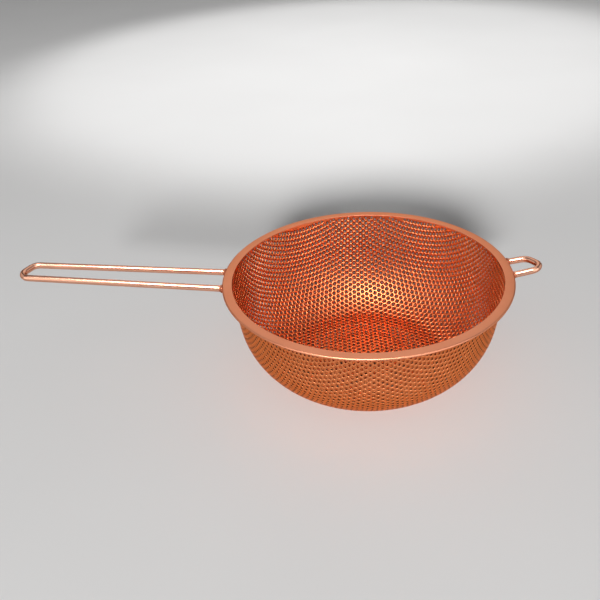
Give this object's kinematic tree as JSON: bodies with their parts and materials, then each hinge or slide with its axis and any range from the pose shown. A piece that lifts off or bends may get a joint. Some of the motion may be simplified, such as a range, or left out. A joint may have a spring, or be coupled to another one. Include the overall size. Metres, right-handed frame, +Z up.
{
  "type": "long-handled colander strainer",
  "caption": "Round punched-sheet strainer bowl with a flat base, wide folded rim, long wire loop handle and a small wire rest hook opposite.",
  "frame": {"origin": "centre of the flat base that the bowl rests on", "axes": "+Z up along the bowl's axis, -X along the long handle, +X to the rest hook"},
  "size_m": [0.3958, 0.2188, 0.0922],
  "materials": {
    "bowl_copper": "polished copper plating on punched steel sheet, faint drawing marks",
    "rim_copper": "satin copper plating on a folded steel ring",
    "wire_copper": "bright polished rose copper plating on steel wire",
    "weld_copper": "copper plated weld, slightly rougher than the wire"
  },
  "bodies": {
    "root": {"bowl": "bowl_copper", "rim_ring": "rim_copper", "long_handle": "wire_copper", "rest_hook": "wire_copper", "handle_welds": "weld_copper", "hook_welds": "weld_copper"}
  },
  "joints": []
}
